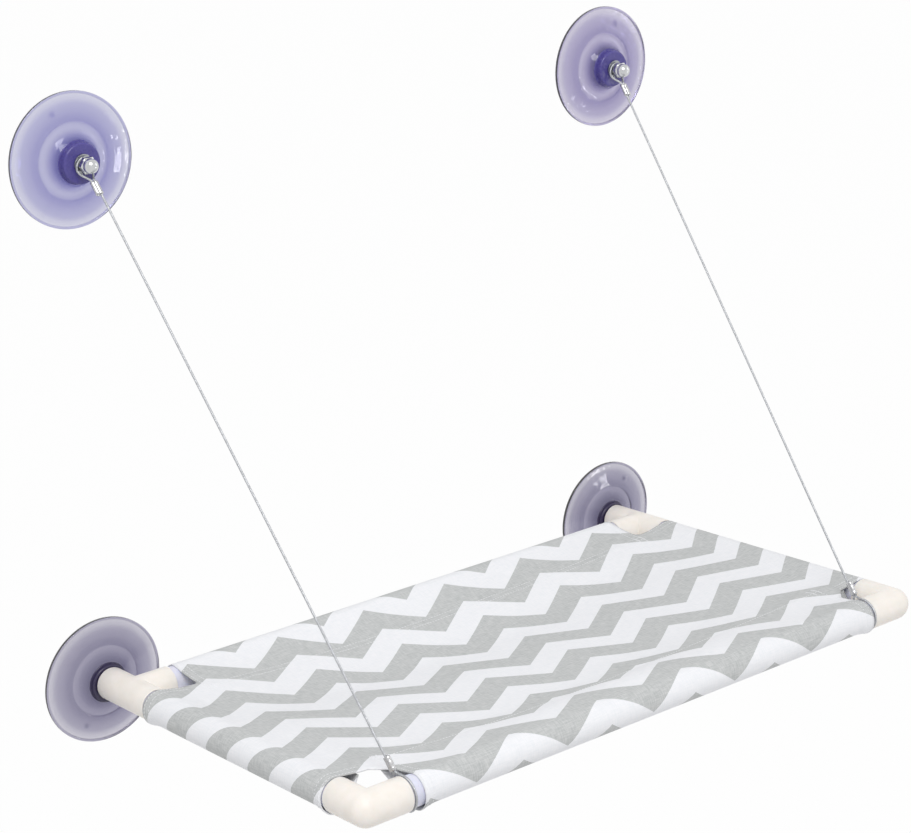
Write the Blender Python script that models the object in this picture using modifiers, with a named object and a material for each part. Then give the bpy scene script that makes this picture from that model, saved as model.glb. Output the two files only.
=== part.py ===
"""Cat window bed: a pipe frame with a fabric hammock, held on a window by four cups and two cables.

Metres. X runs to the right along the glass, Y runs to the glass, which is at Y zero, and Z runs up.
The origin is on the glass, midway between the two lower cups.
"""
import math

import bmesh
import bpy
from mathutils import Matrix, Vector

# Layout of the frame and the cups
SIDE_RAIL_SPACING = 0.572
FRONT_RAIL_REACH = 0.370
BACK_RAIL_REACH = 0.050
FRAME_PITCH = math.radians(3.64)
UPPER_CUP_SPACING = 0.562
UPPER_CUP_HEIGHT = 0.445

# Pipe
PIPE_RADIUS = 0.0125
PIPE_WALL = 0.0020

# Elbows and tees
FITTING_RADIUS = 0.0140
FITTING_REACH = 0.0352
SOCKET_STOP = 0.0145
LIP_ROUNDING = 0.0008
BALL_PROUD = 0.0003
BRANCH_STEP = 0.0002

# Clearances
FIT_GAP = 0.0003
CUT_OVERRUN = 0.0010
MERGE_DISTANCE = 0.00001

# Plug in the window end of each tee
PLUG_LENGTH = 0.0085
SEAT_DEPTH = 0.0012
SEAT_RADIUS = 0.0090

# Suction cups
CUP_RADIUS = 0.0550
CUP_RIM = 0.0020
SEAL_WIDTH = 0.0100
CAVITY_DEPTH = 0.0032
RING_RADIUS = 0.0310
RING_RISE = 0.0052
RING_STEP = 0.0008
HUB_RADIUS = 0.0165
HUB_EDGE = 0.0025
HUB_DRAFT = 0.0005
UPPER_HUB_RISE = 0.0190
LOWER_HUB_RISE = 0.0134
UPPER_DOME_RISE = 0.0120
LOWER_DOME_RISE = 0.0088
HEAD_COVER = 0.0024

# Studs, washers and nuts
STUD_RADIUS = 0.0040
STUD_HEAD_RADIUS = 0.0075
STUD_HEAD_HEIGHT = 0.0040
STUD_TIP_EDGE = 0.0006
UPPER_STUD_PAST_EYE = 0.0080
LOWER_STUD_PAST_NUT = 0.0020
WASHER_RADIUS = 0.0080
WASHER_THICKNESS = 0.0015
NUT_ACROSS_FLATS = 0.0130
NUT_HEIGHT = 0.0065
CAP_NUT_HEX_HEIGHT = 0.0048
CAP_NUT_DOME_RADIUS = 0.0061
CAP_NUT_CROWN = 0.0020

# Cables and ferrules
WIRE_RADIUS = 0.0010
STRAND_GAP = 0.0006
EYE_RADIUS = 0.0074
EYE_SPACE = 0.0035
EYE_DROP = 0.0070
EYE_LEG = 0.0160
EYE_DRAW = 0.0052
LOOP_GAP = 0.0004
LOOP_LEG = 0.0185
LOOP_SPREAD = math.radians(50)
LOOP_PULL = 0.0050
LOOP_DRAW = 0.0040
UPPER_FERRULE_LENGTH = 0.0115
LOWER_FERRULE_LENGTH = 0.0120
FERRULE_WALL = 0.0008
TAIL_PAST_FERRULE = 0.0010

# Hammock cover
COVER_CLOTH = 0.0011
PANEL_CLOTH_SHARE = 0.8
PANEL_TUCK = 0.0045
PANEL_SAG = 0.0240
SIDE_SAG_POWER = 2.45
FRONT_SAG_POWER = 1.93
BACK_SAG_POWER = 3.0
BARE_SIDE_BACK = 0.0025
BARE_SIDE_FRONT = 0.0048
BARE_BACK_RAIL = 0.0055
BARE_FRONT_RAIL = 0.0098
NOTCH_STEP = 0.0015
FRONT_NOTCH_CHAMFER = 0.0140
BACK_NOTCH_CHAMFER = 0.0040

# Faceting
PIPE_STEPS = 24
CUP_STEPS = 28
SMALL_STEPS = 16
LIP_STEPS = 2
DOME_STEPS = 4
CURVE_STEPS = 6
RING_STEPS = 16
BARREL_STEPS = 8
PANEL_COLUMNS = 18
PANEL_ROWS = 12
SMOOTH_ANGLE = math.radians(35)

# Sizes that follow
HALF_SPACING = SIDE_RAIL_SPACING / 2
SOCKET_RADIUS = PIPE_RADIUS + FIT_GAP
PASSAGE_RADIUS = PIPE_RADIUS - PIPE_WALL
COVER_RADIUS = SOCKET_RADIUS + COVER_CLOTH
STUD_BORE = STUD_RADIUS + FIT_GAP
NUT_CORNER_RADIUS = NUT_ACROSS_FLATS / math.sqrt(3)
HEAD_POCKET_FLOOR = CAVITY_DEPTH + HEAD_COVER
HEAD_POCKET_TOP = HEAD_POCKET_FLOOR + STUD_HEAD_HEIGHT + FIT_GAP + FIT_GAP
STRAND_OFFSET = WIRE_RADIUS + STRAND_GAP / 2
EYE_PLANE = UPPER_HUB_RISE + WASHER_THICKNESS + FIT_GAP + FIT_GAP + WIRE_RADIUS
CAP_NUT_SEAT = EYE_PLANE - WIRE_RADIUS + EYE_SPACE
LOOP_RADIUS = PIPE_RADIUS + FIT_GAP + WIRE_RADIUS
LOOP_ACROSS = HALF_SPACING - FITTING_REACH - LOOP_GAP - WIRE_RADIUS
PLUG_SEAT = (BACK_RAIL_REACH - FITTING_REACH + PLUG_LENGTH) * math.cos(FRAME_PITCH) - SEAT_DEPTH

# Turns that lay a shape's own Z along an axis of the frame
ALONG_X = (0.0, math.pi / 2, 0.0)
AGAINST_X = (0.0, -math.pi / 2, 0.0)
ALONG_Y = (-math.pi / 2, 0.0, 0.0)
TO_ROOM = (math.pi / 2, 0.0, 0.0)
UPRIGHT = (0.0, 0.0, 0.0)


def clear_scene():
    for item in list(bpy.data.objects):
        bpy.data.objects.remove(item, do_unlink=True)


def new_collection(name):
    group = bpy.data.collections.new(name)
    bpy.context.scene.collection.children.link(group)
    return group


def new_material(name, colour, roughness, metallic=0.0, alpha=1.0):
    material = bpy.data.materials.new(name)
    material.use_nodes = True
    shader = material.node_tree.nodes["Principled BSDF"]
    shader.inputs["Base Color"].default_value = (*colour, 1.0)
    shader.inputs["Roughness"].default_value = roughness
    shader.inputs["Metallic"].default_value = metallic
    shader.inputs["Alpha"].default_value = alpha
    return material


clear_scene()
PIECES = new_collection("cat_window_bed")
CUTTERS = new_collection("cutters")

IVORY_PVC = new_material("ivory_pvc", (0.87, 0.80, 0.72), 0.35)
WHITE_PIPE = new_material("white_pipe", (0.75, 0.76, 0.86), 0.30)
COVER_FABRIC = new_material("cover_fabric", (0.74, 0.75, 0.76), 0.90)
LAVENDER_VINYL = new_material("lavender_vinyl", (0.33, 0.30, 0.62), 0.12, alpha=0.75)
CHROME = new_material("chrome", (0.80, 0.80, 0.80), 0.08, metallic=1.0)
ZINC = new_material("zinc_plated_steel", (0.66, 0.67, 0.68), 0.25, metallic=1.0)
CABLE_STEEL = new_material("coated_cable", (0.72, 0.73, 0.74), 0.30, metallic=0.6)


def place(item, parent, location, rotation=UPRIGHT):
    """Hang an object on its parent empty at a place of that empty's own frame."""
    item.parent = parent
    item.location = location
    item.rotation_euler = rotation
    return item


def new_empty(name, location, rotation=UPRIGHT, parent=None):
    empty = bpy.data.objects.new(name, None)
    PIECES.objects.link(empty)
    return place(empty, parent, location, rotation)


def new_piece(name, data, material):
    """An object of the model, or a hidden cutter when it has no material."""
    item = bpy.data.objects.new(name, data)
    if material is None:
        CUTTERS.objects.link(item)
        item.hide_render = True
        item.display_type = "WIRE"
    else:
        PIECES.objects.link(item)
        data.materials.append(material)
    return item


def turned(name, profile, steps, material=None, closed=False):
    """Turn a profile of radius and height round Z; it runs down its outer side."""
    builder = bmesh.new()
    points = [builder.verts.new((radius, 0.0, height)) for radius, height in profile]
    for first, second in zip(points, points[1:]):
        builder.edges.new((first, second))
    if closed:
        builder.edges.new((points[-1], points[0]))
    mesh = bpy.data.meshes.new(name)
    builder.to_mesh(mesh)
    builder.free()
    item = new_piece(name, mesh, material)
    screw = item.modifiers.new("turn", "SCREW")
    screw.axis = "Z"
    screw.angle = math.tau
    screw.steps = steps
    screw.render_steps = steps
    screw.use_merge_vertices = True
    screw.merge_threshold = MERGE_DISTANCE
    return item


def rod_profile(radius, low, high):
    return [(0.0, high), (radius, high), (radius, low), (0.0, low)]


def tube_profile(outer, inner, low, high):
    return [(outer, high), (outer, low), (inner, low), (inner, high)]


def combine(item, other, operation):
    step = item.modifiers.new(operation.lower(), "BOOLEAN")
    step.operation = operation
    step.solver = "EXACT"
    step.object = other


def settle(item):
    """Apply the modifiers and shade the round faces smooth."""
    bpy.context.view_layer.update()
    graph = bpy.context.evaluated_depsgraph_get()
    mesh = bpy.data.meshes.new_from_object(item.evaluated_get(graph))
    mesh.name = item.name
    mesh.shade_smooth()
    mesh.set_sharp_from_angle(angle=SMOOTH_ANGLE)
    item.modifiers.clear()
    item.data = mesh
    return item


def frame_point(across, reach, rise=0.0):
    """World place of a point given across the glass, along the side rails and above their axes."""
    forward = rise * math.sin(FRAME_PITCH) - reach * math.cos(FRAME_PITCH)
    upward = rise * math.cos(FRAME_PITCH) + reach * math.sin(FRAME_PITCH)
    return Vector((across, forward, upward))


def bezier(start, start_handle, end_handle, end, steps):
    """Points after the start of a cubic curve, up to its end."""
    points = []
    for step in range(1, steps + 1):
        share = step / steps
        rest = 1 - share
        point = start * rest ** 3 + start_handle * (3 * rest ** 2 * share)
        point += end_handle * (3 * rest * share ** 2) + end * share ** 3
        points.append(point)
    return points


# Frame: four pipes, two elbows, two tees and two plugs
FRAME = new_empty("frame_axes", (0.0, 0.0, 0.0), (-FRAME_PITCH, 0.0, 0.0))


def pipe(name, length, location, rotation):
    profile = tube_profile(PIPE_RADIUS, PASSAGE_RADIUS, -length / 2, length / 2)
    item = turned(name, profile, PIPE_STEPS, WHITE_PIPE, closed=True)
    place(item, FRAME, location, rotation)
    return settle(item)


def lip(radius, height, facing):
    """Rounded outer edge of an open end, from its face to its side, or back when facing down."""
    points = []
    for step in range(LIP_STEPS + 1):
        angle = math.pi / 2 * step / LIP_STEPS
        out = radius - LIP_ROUNDING + LIP_ROUNDING * math.sin(angle)
        along = height + facing * LIP_ROUNDING * (math.cos(angle) - 1)
        points.append((out, along))
    return points if facing > 0 else points[::-1]


def arm(name, radius, location, rotation, material=None):
    """Solid arm of a fitting, from the fitting's middle to its open end."""
    profile = [(0.0, FITTING_REACH)] + lip(radius, FITTING_REACH, 1) + [(radius, 0.0), (0.0, 0.0)]
    return place(turned(name, profile, PIPE_STEPS, material), FRAME, location, rotation)


def socket(name, passage, location, rotation):
    """Cutter for one socket and the narrower passage behind it."""
    mouth = FITTING_REACH + CUT_OVERRUN
    profile = [(0.0, mouth), (SOCKET_RADIUS, mouth), (SOCKET_RADIUS, SOCKET_STOP)]
    profile += [(passage, SOCKET_STOP), (passage, 0.0), (0.0, 0.0)]
    return place(turned(name, profile, PIPE_STEPS), FRAME, location, rotation)


def elbow(name, side):
    centre = (side * HALF_SPACING, -FRONT_RAIL_REACH, 0.0)
    inward = AGAINST_X if side > 0 else ALONG_X
    item = arm(name, FITTING_RADIUS, centre, inward, IVORY_PVC)
    combine(item, arm(name + "_side_arm", FITTING_RADIUS, centre, ALONG_Y), "UNION")
    builder = bmesh.new()
    radius = FITTING_RADIUS + BALL_PROUD
    bmesh.ops.create_uvsphere(builder, u_segments=PIPE_STEPS, v_segments=PIPE_STEPS // 2, radius=radius)
    mesh = bpy.data.meshes.new(name + "_ball")
    builder.to_mesh(mesh)
    builder.free()
    ball = place(new_piece(name + "_ball", mesh, None), FRAME, centre)
    combine(item, ball, "UNION")
    combine(item, socket(name + "_front_socket", PASSAGE_RADIUS, centre, inward), "DIFFERENCE")
    narrow = PASSAGE_RADIUS - BRANCH_STEP
    combine(item, socket(name + "_side_socket", narrow, centre, ALONG_Y), "DIFFERENCE")
    return settle(item)


def tee(name, side):
    centre = (side * HALF_SPACING, -BACK_RAIL_REACH, 0.0)
    inward = AGAINST_X if side > 0 else ALONG_X
    profile = [(0.0, FITTING_REACH)] + lip(FITTING_RADIUS, FITTING_REACH, 1)
    profile += lip(FITTING_RADIUS, -FITTING_REACH, -1) + [(0.0, -FITTING_REACH)]
    item = place(turned(name, profile, PIPE_STEPS, IVORY_PVC), FRAME, centre, ALONG_Y)
    branch = arm(name + "_branch", FITTING_RADIUS - BRANCH_STEP, centre, inward)
    combine(item, branch, "UNION")
    mouth = FITTING_REACH + CUT_OVERRUN
    profile = [(0.0, mouth), (SOCKET_RADIUS, mouth), (SOCKET_RADIUS, SOCKET_STOP)]
    profile += [(PASSAGE_RADIUS, SOCKET_STOP), (PASSAGE_RADIUS, -SOCKET_STOP)]
    profile += [(SOCKET_RADIUS, -SOCKET_STOP), (SOCKET_RADIUS, -mouth), (0.0, -mouth)]
    run = place(turned(name + "_run_bore", profile, PIPE_STEPS), FRAME, centre, ALONG_Y)
    combine(item, run, "DIFFERENCE")
    narrow = PASSAGE_RADIUS - BRANCH_STEP
    combine(item, socket(name + "_branch_bore", narrow, centre, inward), "DIFFERENCE")
    return settle(item)


def plug(name, side):
    """Round plug whose stud hole and washer seat stand square to the glass."""
    window_end = BACK_RAIL_REACH - FITTING_REACH
    profile = rod_profile(PIPE_RADIUS, 0.0, PLUG_LENGTH)
    item = turned(name, profile, PIPE_STEPS, IVORY_PVC)
    place(item, FRAME, (side * HALF_SPACING, -window_end, 0.0), TO_ROOM)
    foot = (side * HALF_SPACING, 0.0, 0.0)
    past = PLUG_SEAT + PLUG_LENGTH
    hole = turned(name + "_stud_hole", rod_profile(STUD_BORE, 0.0, past), SMALL_STEPS)
    hole.rotation_euler = TO_ROOM
    hole.location = foot
    combine(item, hole, "DIFFERENCE")
    seat = turned(name + "_washer_seat", rod_profile(SEAT_RADIUS, PLUG_SEAT, past), SMALL_STEPS)
    seat.rotation_euler = TO_ROOM
    seat.location = foot
    combine(item, seat, "DIFFERENCE")
    return settle(item)


def frame_pieces():
    across = 2 * (HALF_SPACING - SOCKET_STOP - FIT_GAP)
    along = FRONT_RAIL_REACH - BACK_RAIL_REACH - 2 * (SOCKET_STOP + FIT_GAP)
    middle = (FRONT_RAIL_REACH + BACK_RAIL_REACH) / 2
    pipe("front_rail_tube", across, (0.0, -FRONT_RAIL_REACH, 0.0), ALONG_X)
    pipe("back_rail_tube", across, (0.0, -BACK_RAIL_REACH, 0.0), ALONG_X)
    for hand, side in (("left", -1), ("right", 1)):
        pipe(hand + "_side_tube", along, (side * HALF_SPACING, -middle, 0.0), ALONG_Y)
        elbow("front_" + hand + "_elbow", side)
        tee("back_" + hand + "_tee", side)
        plug(hand + "_tee_plug", side)


# Hammock cover: a sagging panel with a sleeve round each rail
def sleeve(name, half_length, location, rotation):
    profile = tube_profile(COVER_RADIUS, SOCKET_RADIUS, -half_length, half_length)
    return place(turned(name, profile, PIPE_STEPS, closed=True), FRAME, location, rotation)


def notch(name, side, reach, front):
    """Cutter that takes a corner off the panel, its inner corner chamfered."""
    sleeve_end = HALF_SPACING - FITTING_REACH - (BARE_FRONT_RAIL if front else BARE_BACK_RAIL)
    bare = BARE_SIDE_FRONT if front else BARE_SIDE_BACK
    width = HALF_SPACING - sleeve_end + NOTCH_STEP
    depth = FITTING_REACH + bare + NOTCH_STEP
    builder = bmesh.new()
    bmesh.ops.create_cube(builder, size=1.0)
    inner_corner = [edge for edge in builder.edges
                    if all(vert.co.x * side < 0 and (vert.co.y > 0) == front for vert in edge.verts)]
    bmesh.ops.scale(builder, vec=(width, depth, PANEL_SAG + FITTING_REACH), verts=builder.verts)
    chamfer = FRONT_NOTCH_CHAMFER if front else BACK_NOTCH_CHAMFER
    bmesh.ops.bevel(builder, geom=inner_corner, offset=chamfer, offset_type="OFFSET",
                    segments=1, profile=0.5, affect="EDGES", material=-1)
    mesh = bpy.data.meshes.new(name)
    builder.to_mesh(mesh)
    builder.free()
    item = new_piece(name, mesh, None)
    across = side * (HALF_SPACING - width / 2)
    along = reach - depth / 2 if front else reach + depth / 2
    return place(item, FRAME, (across, -along, COVER_RADIUS))


def cover_panel():
    """Thin panel that sags most in its middle and dips steeper at the back; its rows crowd at the rails."""
    builder = bmesh.new()
    bmesh.ops.create_grid(builder, x_segments=PANEL_COLUMNS, y_segments=PANEL_ROWS, size=1.0)
    half_across = HALF_SPACING - PANEL_TUCK
    middle = (FRONT_RAIL_REACH + BACK_RAIL_REACH) / 2
    half_along = (FRONT_RAIL_REACH - BACK_RAIL_REACH) / 2 - PANEL_TUCK
    edge_height = math.sqrt((SOCKET_RADIUS + COVER_CLOTH / 2) ** 2 - PANEL_TUCK ** 2)
    for vert in builder.verts:
        across = math.sin(math.pi / 2 * vert.co.x)
        along = math.sin(math.pi / 2 * vert.co.y)
        power = BACK_SAG_POWER if along > 0 else FRONT_SAG_POWER
        sag = PANEL_SAG * (1 - abs(across) ** SIDE_SAG_POWER) * (1 - abs(along) ** power)
        vert.co = (across * half_across, along * half_along - middle, edge_height - sag)
    mesh = bpy.data.meshes.new("hammock_cover")
    builder.to_mesh(mesh)
    builder.free()
    item = place(new_piece("hammock_cover", mesh, COVER_FABRIC), FRAME, (0.0, 0.0, 0.0))
    thicken = item.modifiers.new("cloth", "SOLIDIFY")
    thicken.thickness = COVER_CLOTH * PANEL_CLOTH_SHARE
    thicken.offset = 0.0
    item.modifiers.new("flat_faces", "TRIANGULATE")
    return item


def hammock_cover():
    item = cover_panel()
    ends = (("front", FRONT_RAIL_REACH, BARE_FRONT_RAIL), ("back", BACK_RAIL_REACH, BARE_BACK_RAIL))
    rails = []
    for end, reach, bare in ends:
        for hand, side in (("left", -1), ("right", 1)):
            cutter = notch("_".join((end, hand, "notch")), side, reach, end == "front")
            combine(item, cutter, "DIFFERENCE")
        half_length = HALF_SPACING - FITTING_REACH - bare
        rails.append((end, half_length, (0.0, -reach, 0.0), ALONG_X))
    start = BACK_RAIL_REACH + FITTING_REACH + BARE_SIDE_BACK
    stop = FRONT_RAIL_REACH - FITTING_REACH - BARE_SIDE_FRONT
    for hand, side in (("left", -1), ("right", 1)):
        centre = (side * HALF_SPACING, -(start + stop) / 2, 0.0)
        rails.append((hand, (stop - start) / 2, centre, ALONG_Y))
    for rail, half_length, centre, turn in rails:
        combine(item, sleeve(rail + "_sleeve", half_length, centre, turn), "UNION")
    return settle(item)


# Suction cups with their studs, washers and nuts
def cup_profile(hub_rise, dome_rise):
    pocket = STUD_HEAD_RADIUS + FIT_GAP
    foot = HUB_RADIUS + HUB_DRAFT
    points = [(0.0, HEAD_POCKET_FLOOR), (pocket, HEAD_POCKET_FLOOR), (pocket, HEAD_POCKET_TOP)]
    points += [(STUD_BORE, HEAD_POCKET_TOP), (STUD_BORE, hub_rise)]
    points += [(HUB_RADIUS - HUB_EDGE, hub_rise), (HUB_RADIUS, hub_rise - HUB_EDGE), (foot, dome_rise)]
    for step in range(1, DOME_STEPS + 1):
        share = step / DOME_STEPS
        rise = RING_RISE + (dome_rise - RING_RISE) * (1 - share) ** 2
        points.append((foot + (RING_RADIUS - foot) * share, rise))
    flange = RING_RISE - RING_STEP
    points.append((RING_RADIUS + RING_STEP, flange))
    points.append(((RING_RADIUS + CUP_RADIUS) / 2, (flange + CUP_RIM) / 2))
    points += [(CUP_RADIUS - CUP_RIM / 2, CUP_RIM), (CUP_RADIUS, CUP_RIM / 2), (CUP_RADIUS, 0.0)]
    seal = CUP_RADIUS - SEAL_WIDTH
    points.append((seal, 0.0))
    for step in range(1, DOME_STEPS):
        share = step / DOME_STEPS
        points.append((seal * (1 - share), CAVITY_DEPTH * math.sin(math.pi / 2 * share)))
    points.append((0.0, CAVITY_DEPTH))
    return points


def stud(name, axis, tip):
    head_base = HEAD_POCKET_FLOOR + FIT_GAP
    head_top = head_base + STUD_HEAD_HEIGHT
    profile = [(0.0, tip), (STUD_RADIUS - STUD_TIP_EDGE, tip), (STUD_RADIUS, tip - STUD_TIP_EDGE)]
    profile += [(STUD_RADIUS, head_top), (STUD_HEAD_RADIUS, head_top)]
    profile += [(STUD_HEAD_RADIUS, head_base), (0.0, head_base)]
    item = turned(name, profile, SMALL_STEPS, ZINC)
    return settle(place(item, axis, (0.0, 0.0, 0.0)))


def washer(name, axis, seat):
    profile = tube_profile(WASHER_RADIUS, STUD_BORE, seat, seat + WASHER_THICKNESS)
    item = turned(name, profile, SMALL_STEPS, ZINC, closed=True)
    return settle(place(item, axis, (0.0, 0.0, 0.0)))


def hex_block(name, height, material):
    """Six-sided block from Z zero up."""
    builder = bmesh.new()
    bmesh.ops.create_cone(builder, cap_ends=True, segments=6, radius1=NUT_CORNER_RADIUS,
                          radius2=NUT_CORNER_RADIUS, depth=height)
    bmesh.ops.translate(builder, vec=(0.0, 0.0, height / 2), verts=builder.verts)
    mesh = bpy.data.meshes.new(name)
    builder.to_mesh(mesh)
    builder.free()
    return new_piece(name, mesh, material)


def hex_nut(name, axis, seat):
    item = place(hex_block(name, NUT_HEIGHT, ZINC), axis, (0.0, 0.0, seat))
    profile = rod_profile(STUD_BORE, -CUT_OVERRUN, NUT_HEIGHT + CUT_OVERRUN)
    bore = turned(name + "_bore", profile, SMALL_STEPS)
    combine(item, place(bore, axis, (0.0, 0.0, seat)), "DIFFERENCE")
    return settle(item)


def cap_nut(name, axis, seat, stud_tip):
    """Domed nut: a six-sided base, a round crown and a blind bore for the stud."""
    item = place(hex_block(name, CAP_NUT_HEX_HEIGHT, CHROME), axis, (0.0, 0.0, seat))
    shoulder = CAP_NUT_HEX_HEIGHT + CAP_NUT_CROWN
    profile = []
    for step in range(DOME_STEPS + 1):
        angle = math.pi / 2 * step / DOME_STEPS
        height = shoulder + CAP_NUT_DOME_RADIUS * math.cos(angle)
        profile.append((CAP_NUT_DOME_RADIUS * math.sin(angle), height))
    profile += [(CAP_NUT_DOME_RADIUS, CAP_NUT_CROWN), (0.0, CAP_NUT_CROWN)]
    dome = place(turned(name + "_dome", profile, SMALL_STEPS), axis, (0.0, 0.0, seat))
    combine(item, dome, "UNION")
    depth = stud_tip - seat + FIT_GAP
    bore = turned(name + "_bore", rod_profile(STUD_BORE, -CUT_OVERRUN, depth), SMALL_STEPS)
    combine(item, place(bore, axis, (0.0, 0.0, seat)), "DIFFERENCE")
    return settle(item)


def suction_cup(name, axis, hub_rise, dome_rise):
    item = turned(name, cup_profile(hub_rise, dome_rise), CUP_STEPS, LAVENDER_VINYL)
    return settle(place(item, axis, (0.0, 0.0, 0.0)))


def lower_cup(hand, side):
    name = "lower_" + hand
    axis = new_empty(name + "_cup_axis", (side * HALF_SPACING, 0.0, 0.0), TO_ROOM)
    suction_cup(name + "_cup", axis, LOWER_HUB_RISE, LOWER_DOME_RISE)
    washer_seat = PLUG_SEAT + FIT_GAP
    nut_seat = washer_seat + WASHER_THICKNESS + FIT_GAP
    washer(name + "_washer", axis, washer_seat)
    hex_nut(name + "_nut", axis, nut_seat)
    stud(name + "_stud", axis, nut_seat + NUT_HEIGHT + LOWER_STUD_PAST_NUT)


def upper_cup(hand, axis):
    name = "upper_" + hand
    suction_cup(name + "_cup", axis, UPPER_HUB_RISE, UPPER_DOME_RISE)
    washer(name + "_washer", axis, UPPER_HUB_RISE + FIT_GAP)
    tip = EYE_PLANE + UPPER_STUD_PAST_EYE
    stud(name + "_stud", axis, tip)
    cap_nut(name + "_cap_nut", axis, CAP_NUT_SEAT, tip)


# Cables: an eye round the upper stud and a loop round the front rail, closed by ferrules
def eye_points(centre, along, spread):
    """Wire path from the ferrule up one side, over the stud and down the other side."""
    down = Vector((0.0, 0.0, -1.0))
    sideways = Vector((1.0, 0.0, 0.0))
    drop = EYE_RADIUS - STUD_RADIUS - FIT_GAP - WIRE_RADIUS
    middle = centre + down * drop
    legs = []
    for hand in (-1, 1):
        shoulder = middle + sideways * (hand * EYE_RADIUS)
        root = centre - along * EYE_LEG + spread * (hand * STRAND_OFFSET)
        drawn = root + along * EYE_DRAW
        legs.append(bezier(shoulder, shoulder + down * EYE_DROP, drawn, root, CURVE_STEPS))
    arch = []
    for step in range(RING_STEPS // 2 + 1):
        angle = math.pi * step / (RING_STEPS // 2)
        offset = sideways * (-EYE_RADIUS * math.cos(angle)) - down * (EYE_RADIUS * math.sin(angle))
        arch.append(middle + offset)
    return legs[0][::-1] + arch + legs[1]


def loop_points(centre, along, spread):
    """Wire path from the ferrule down behind the rail, round it and back up in front."""
    flat_along = Vector((0.0, along.y, along.z)).normalized()
    flat_spread = Vector((0.0, flat_along.z, -flat_along.y))
    legs = []
    for hand in (1, -1):
        outward = flat_along * math.cos(LOOP_SPREAD) + flat_spread * (hand * math.sin(LOOP_SPREAD))
        upward = flat_along * math.sin(LOOP_SPREAD) - flat_spread * (hand * math.cos(LOOP_SPREAD))
        start = centre + outward * LOOP_RADIUS
        root = centre + along * LOOP_LEG + spread * (hand * STRAND_OFFSET)
        pulled = root - along * LOOP_DRAW
        pulled.x = centre.x
        legs.append(bezier(start, start + upward * LOOP_PULL, pulled, root, CURVE_STEPS))
    ring = []
    sweep = math.tau - 2 * LOOP_SPREAD
    for step in range(RING_STEPS + 1):
        angle = LOOP_SPREAD + sweep * step / RING_STEPS
        offset = flat_along * math.cos(angle) + flat_spread * math.sin(angle)
        ring.append(centre + offset * LOOP_RADIUS)
    return legs[0][::-1] + ring + legs[1]


def wire(name, points, parent):
    curve = bpy.data.curves.new(name, "CURVE")
    curve.dimensions = "3D"
    spline = curve.splines.new("POLY")
    spline.points.add(len(points) - 1)
    for knot, point in zip(spline.points, points):
        knot.co = (*(point - parent.location), 1.0)
    curve.bevel_depth = WIRE_RADIUS
    curve.bevel_resolution = 2
    curve.use_fill_caps = True
    item = new_piece(name, curve, CABLE_STEEL)
    return place(item, parent, (0.0, 0.0, 0.0))


def ferrule(name, middle, length, along, spread, parent):
    """Pressed double barrel round the two strands."""
    curve = bpy.data.curves.new(name, "CURVE")
    curve.dimensions = "2D"
    curve.fill_mode = "BOTH"
    curve.extrude = length / 2
    hole = WIRE_RADIUS + FIT_GAP
    barrel = hole + FERRULE_WALL
    waist = math.acos(STRAND_OFFSET / barrel)
    for radius, reach in ((barrel, math.pi - waist), (hole, math.pi / 2)):
        outline = []
        for hand in (0.0, math.pi):
            for step in range(BARREL_STEPS + 1):
                angle = reach * (2 * step / BARREL_STEPS - 1)
                across = STRAND_OFFSET + radius * math.cos(angle)
                outline.append(Matrix.Rotation(hand, 2) @ Vector((across, radius * math.sin(angle))))
        if radius == barrel:
            outline = outline[:BARREL_STEPS] + outline[BARREL_STEPS + 1:-1]
        spline = curve.splines.new("POLY")
        spline.points.add(len(outline) - 1)
        spline.use_cyclic_u = True
        for knot, point in zip(spline.points, outline):
            knot.co = (point.x, point.y, 0.0, 1.0)
    item = new_piece(name, curve, CHROME)
    axes = Matrix((spread, along.cross(spread), along)).transposed()
    return place(item, parent, middle - parent.location, axes.to_euler())


def cable(hand, side):
    """One cable with its two ferrules and the upper cup that turns on it."""
    rail = frame_point(side * LOOP_ACROSS, FRONT_RAIL_REACH)
    eye = Vector((side * UPPER_CUP_SPACING / 2, -EYE_PLANE, UPPER_CUP_HEIGHT))
    along = (eye - rail).normalized()
    level = (Vector((1.0, 0.0, 0.0)) - along * along.x).normalized()
    upright = along.cross(level)
    pivot = new_empty(hand + "_cable_axis", rail)

    eye_end = -along * (EYE_LEG + UPPER_FERRULE_LENGTH)
    loop_end = along * (LOOP_LEG + LOWER_FERRULE_LENGTH)
    tail = TAIL_PAST_FERRULE
    points = [eye + eye_end - along * tail + level * (side * STRAND_OFFSET)]
    path = eye_points(eye, along, level)
    points += path if side < 0 else path[::-1]
    points.append(eye + eye_end - level * (side * STRAND_OFFSET))
    points.append(rail + loop_end + upright * STRAND_OFFSET)
    points += loop_points(rail, along, upright)
    points.append(rail + loop_end + along * tail - upright * STRAND_OFFSET)
    wire(hand + "_cable", points, pivot)

    middle = eye - along * (EYE_LEG + UPPER_FERRULE_LENGTH / 2)
    ferrule(hand + "_upper_ferrule", middle, UPPER_FERRULE_LENGTH, along, level, pivot)
    middle = rail + along * (LOOP_LEG + LOWER_FERRULE_LENGTH / 2)
    ferrule(hand + "_lower_ferrule", middle, LOWER_FERRULE_LENGTH, along, upright, pivot)

    foot = Vector((eye.x, 0.0, eye.z)) - rail
    upper_cup(hand, new_empty("upper_" + hand + "_cup_axis", foot, TO_ROOM, pivot))


frame_pieces()
hammock_cover()
for hand_name, hand_side in (("left", -1), ("right", 1)):
    lower_cup(hand_name, hand_side)
    cable(hand_name, hand_side)
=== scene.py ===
"""Looks of the cat window bed: cloth cover, plastic pipe and fittings, clear cups, cables and hardware.

Metres, in the frame of the CAD model: X runs to the right along the glass, Y to the glass and Z up.
"""
import math

import bmesh
import bpy
import numpy as np
from mathutils import Matrix, Vector


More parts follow.
